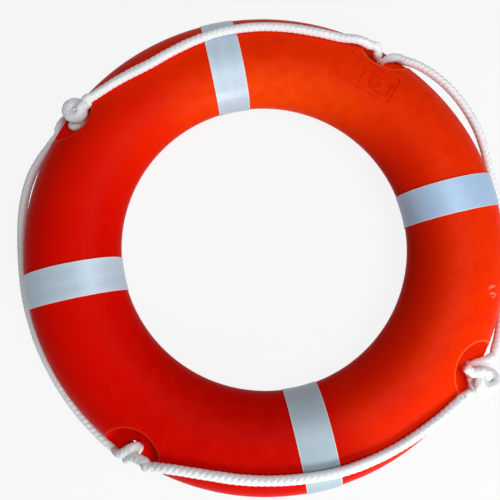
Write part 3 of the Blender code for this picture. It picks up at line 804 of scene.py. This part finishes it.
def shellMaterial():
    look = Look(bpy.data.materials.new("orangeShell"))
    space = look.place()
    patches = look.noise(space, shell["patches"], 5, 0.55)
    mottle = look.noise(space, shell["mottle"], 4, 0.6)
    grain = look.noise(space, shell["grain"], 2, 0.5)
    peel = look.noise(space, shell["peel"], 3, 0.5)
    rubs = look.noise(look.stretch(space, shell["rubGrain"]), 1.0, 4, 0.55, 0.8)
    scuffs = look.fit(rubs, 0.70, 0.78) * look.fit(patches, 0.5, 0.62)
    x, y, z = look.split(space)

    # Painted light: lighter and more orange on the right, painted shade at the bottom left, a painted
    # highlight on the hole's top inner slope and painted shade low inside the hole
    # Painted light: the right and top are made lighter and more orange, broken up by random patches.
    paintedLitSide = look.fit(x * 0.85 + y * 0.35 + patches * 0.5, -0.02, 0.52)
    # Painted shade: darker towards the bottom left.
    paintedShadeLowLeft = look.fit(-1.0 * y - look.maths("MAXIMUM", x, 0.0) * 2.2 + patches * 0.08, 0.14, 0.30)
    inner = look.fit(ring["radius"] - (x ** 2 + y ** 2) ** 0.5, 0.010, 0.058)
    upper = look.fit(y, 0.05, 0.24)
    orange = look.mix(paintedLitSide, shell["plain"], shell["paintedLitSide"])
    orange = look.mix(paintedShadeLowLeft * 0.7, orange, shell["paintedShadeLowLeft"])
    # Painted highlight on the top of the hole's inner slope, and painted shade on its lower part.
    orange = look.mix(inner * upper * look.fit(x, -0.14, 0.04, 0.05, 0.65), orange, shell["paintedSlopeHighlight"])
    orange = look.mix(inner * (1.0 - upper) * 0.55, orange, shell["inner"])
    orange = look.mix(look.fit(mottle, 0.35, 0.75, 0.0, 0.35), orange, shell["mottled"])

    # Scuffs, one rubbed place at the right that is also a painted highlight, painted shade on the panel's
    # lines and painted highlights on the lips
    # A rubbed, paler pinkish spot at the right that also stands in for a glossy highlight there: partly wear,
    # partly painted highlight.
    rubAndGloss = look.vector("DISTANCE", space, shell["rubAndGlossPlace"], out="Value") + mottle * 0.006
    rubAndGloss = look.fit(rubAndGloss, 0.009, 0.014, 1.0, 0.0) * look.fit(rubs, 0.46, 0.56)
    # Painted shade on the label panel's edge lines.
    paintedPanelShade = panelEdges(look, x, y, z) * look.fit(mottle, 0.25, 0.6, 0.45, 1.0)
    # Painted highlight on the recess lips, stronger where the right side is painted lighter.
    paintedLipHighlight = lipEdges(look, x, y, z) * look.fit(mottle, 0.25, 0.55, 0.5, 1.0)
    orange = look.mix(scuffs * 0.4, orange, shell["scuffed"])
    orange = look.mix(rubAndGloss * 0.55, orange, shell["rubbedAndGlossy"])
    orange = look.mix(paintedPanelShade * 0.32, orange, shell["paintedPanelShade"])
    orange = look.mix(paintedLipHighlight * (paintedLitSide * 0.55 + 0.12), orange, shell["paintedLipHighlight"])
    rough = look.fit(mottle, 0.3, 0.75, 0.33, 0.45) + scuffs * 0.2
    return look.give({"Base Color": orange, "Roughness": rough, "Specular IOR Level": shell["specular"],
                      "Normal": look.bump(grain, 0.00012, 0.35, look.bump(peel, 0.0006, 0.25))})


shellLook = shellMaterial()
frontShell = halfShell("frontShell", 1, shellLook)
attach(frontShell, "ring")
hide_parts("front_shell")
backShell = halfShell("backShell", -1, shellLook)
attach(backShell, "ring")
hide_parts("back_shell")
print("shells made")


# Reflective bands

bands = {
    "width": 0.050, "thickness": 0.0006, "clearance": 0.0005, "girth": 0.39,
    "azimuths": {"right": 0, "top": 90, "left": 180, "bottom": 270},
    "dull": (0.43, 0.55, 0.67), "bright": (0.51, 0.64, 0.76), "seams": (0.68, 0.78, 0.86),
    # of these, the colours that darken the right and bottom bands are painted shade
    "creased": (0.36, 0.45, 0.53), "soiled": (0.42, 0.51, 0.60), "paintedBlueShadeRight": (0.36, 0.53, 0.75),
    "paintedShadeBottom": (0.30, 0.39, 0.45), "border": (0.80, 0.80, 0.76), "borderFrom": 0.0236, "borderTo": 0.0244,
    "cells": 420.0, "streaks": (90, 5, 1), "creases": (9, 160, 1), "patches": 45,
    "metal": 0.12, "coat": 0.15, "coatRoughness": 0.25,
}


def addBand(name, azimuth, look):
    # A strip of even width cut out of a slightly larger tube, then given its thickness.
    strip = addTube(name, bands["clearance"] + bands["thickness"])
    out, along = (onRing(a, 1, 0) - onRing(a, 0, 0) for a in (azimuth, azimuth + 90))
    keepBeyond(strip, (0, 0, 0), out)
    keepBeyond(strip, along * bands["width"] / 2, -along)
    keepBeyond(strip, -along * bands["width"] / 2, along)
    mesh = strip.data
    layer = mesh.uv_layers.active
    for loop in mesh.loops:
        point = mesh.vertices[loop.vertex_index].co
        layer.data[loop.index].uv = (point.dot(along), layer.data[loop.index].uv[1] * bands["girth"])
    modifier = strip.modifiers.new("thickness", "SOLIDIFY")
    modifier.thickness = bands["thickness"]
    modifier.offset = -1
    applyAll(strip)
    finish(strip, look)
    return strip


def bandMaterial():
    look = Look(bpy.data.materials.new("reflectiveBand"))
    sheet = look.place("UV")
    cells = look.node("ShaderNodeTexVoronoi", {"feature": "DISTANCE_TO_EDGE"},
                      {"Vector": sheet, "Scale": bands["cells"], "Randomness": 0.15})
    seams = look.fit(cells, 0.04, 0.20)
    streaks = look.noise(look.stretch(sheet, bands["streaks"]), 1.0, 4, 0.6)
    creases = look.noise(look.stretch(sheet, bands["creases"]), 1.0, 3, 0.5, 0.6)
    patches = look.noise(sheet, bands["patches"], 4, 0.6)
    border = look.maths("ABSOLUTE", look.split(sheet)[0])
    border = look.fit(border, bands["borderFrom"], bands["borderTo"])
    silver = look.mix(look.fit(streaks, 0.3, 0.7), bands["dull"], bands["bright"])
    silver = look.mix(seams * 0.45 + 0.55, bands["seams"], silver)
    silver = look.mix(look.fit(creases, 0.62, 0.74, 0.0, 0.35), silver, bands["creased"])
    silver = look.mix(look.fit(patches, 0.55, 0.75, 0.0, 0.25), silver, bands["soiled"])
    x, y, _ = look.split(look.place())
    # Painted shade: the right band darker and bluer, the bottom band darker.
    silver = look.mix(look.fit(x, 0.15, 0.25, 0.0, 0.9), silver, bands["paintedBlueShadeRight"])
    silver = look.mix(look.fit(-1.0 * y, 0.15, 0.25, 0.0, 0.8), silver, bands["paintedShadeBottom"])
    silver = look.mix(border * 0.6, silver, bands["border"])
    rough = look.fit(streaks, 0.3, 0.7, 0.36, 0.50)
    return look.give({"Base Color": silver, "Roughness": rough, "Metallic": bands["metal"],
                      "Coat Weight": bands["coat"], "Coat Roughness": bands["coatRoughness"],
                      "Normal": look.bump(seams * 0.4 + creases * 0.6, 0.0006, 0.4)})


bandLook = bandMaterial()
for word, azimuth in bands["azimuths"].items():
    band = addBand(word + "Band", azimuth, bandLook)
    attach(band, "ring")
    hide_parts("reflective_tape_" + word)
print("bands made")


# Plugs and core keep their solids

plugs = {"dark": (0.66, 0.022, 0.004), "light": (0.74, 0.040, 0.010), "grain": 700, "patches": 80}
foam = {"dark": (0.78, 0.66, 0.38), "light": (0.84, 0.75, 0.50), "cells": 700.0, "patches": 30}


def plugMaterial():
    look = Look(bpy.data.materials.new("plugPlastic"))
    space = look.place()
    grain = look.noise(space, plugs["grain"], 3, 0.6)
    patches = look.noise(space, plugs["patches"], 4, 0.6)
    red = look.mix(look.fit(patches, 0.3, 0.7), plugs["dark"], plugs["light"])
    return look.give({"Base Color": red, "Roughness": look.fit(grain, 0.3, 0.7, 0.42, 0.58),
                      "Normal": look.bump(grain, 0.0002, 0.4)})


def foamMaterial():
    look = Look(bpy.data.materials.new("closedCellFoam"))
    space = look.place()
    cells = look.node("ShaderNodeTexVoronoi", {"feature": "F1"}, {"Vector": space, "Scale": foam["cells"]})
    patches = look.noise(space, foam["patches"], 4, 0.6)
    cream = look.mix(look.fit(patches, 0.3, 0.7), foam["dark"], foam["light"])
    return look.give({"Base Color": cream, "Roughness": look.fit(patches, 0.3, 0.7, 0.85, 0.95),
                      "Normal": look.bump(cells, 0.0005, 0.6)})


plugLook = plugMaterial()
for word, look in (("fill_plug", plugLook), ("vent_plug", plugLook), ("foam_core", foamMaterial())):
    nodes[word].data.materials.clear()
    nodes[word].data.materials.append(look)
print("plugs and core dressed")


# Floor, lamps and world

floorLook = {"size": 12, "dark": (0.62, 0.62, 0.62), "light": (0.65, 0.65, 0.65), "grain": 60, "white": 0.88}
light = {"world": 0.14, "target": (0, 0, 0.05),
         "keyPlace": (0.42, -1.43, 0.62), "keySize": 0.8, "key": 18.5,
         "topPlace": (0.50, -0.20, 1.50), "topSize": 0.9, "top": 12.3}


def whiteWhereSeen(look, output, glow, share):
    # White where it is looked at, mirrored or seen through. For the rest it stays as it is lit.
    seen = look.node("ShaderNodeLightPath", {}, {}, "Is Camera Ray")
    for kind in ("Is Glossy Ray", "Is Transmission Ray"):
        seen = look.maths("MAXIMUM", seen, look.node("ShaderNodeLightPath", {}, {}, kind))
    white = look.node(glow, {}, {"Color": (1, 1, 1), "Strength": 1.0})
    lit = Wire(look, look.shader.outputs[0])
    mixed = look.node("ShaderNodeMixShader", {}, {0: seen * share, 1: lit, 2: white})
    look.plug(look.tree.nodes[output].inputs["Surface"], mixed)


def addFloor():
    bpy.ops.object.select_all(action="DESELECT")
    bpy.ops.mesh.primitive_plane_add(size=floorLook["size"], location=(0, 0, 0))
    floor = bpy.context.active_object
    floor.name = "floor"
    look = Look(bpy.data.materials.new("paleFloor"))
    grain = look.noise(look.place(), floorLook["grain"], 3, 0.5)
    white = look.mix(look.fit(grain, 0.3, 0.7), floorLook["dark"], floorLook["light"])
    floor.data.materials.append(look.give({"Base Color": white, "Roughness": 0.9}))
    whiteWhereSeen(look, "Material Output", "ShaderNodeEmission", floorLook["white"])
    return floor


def addLamp(name, place, size, power):
    bpy.ops.object.select_all(action="DESELECT")
    aim = (Vector(light["target"]) - Vector(place)).to_track_quat("-Z", "Y").to_euler()
    bpy.ops.object.light_add(type="AREA", location=place, rotation=aim)
    lamp = bpy.context.active_object
    lamp.name = name
    lamp.data.size = size
    lamp.data.energy = power


def addWorld():
    look = Look(bpy.data.worlds.new("studio"), "Background")
    bpy.context.scene.world = look.give({"Color": (1, 1, 1), "Strength": light["world"]})
    whiteWhereSeen(look, "World Output", "ShaderNodeBackground", 1.0)


addFloor()
addWorld()
for word in ("key", "top"):
    addLamp(word + "Lamp", light[word + "Place"], light[word + "Size"], light[word])
bpy.context.scene.view_settings.view_transform = "Standard"
print("floor and lamps placed")
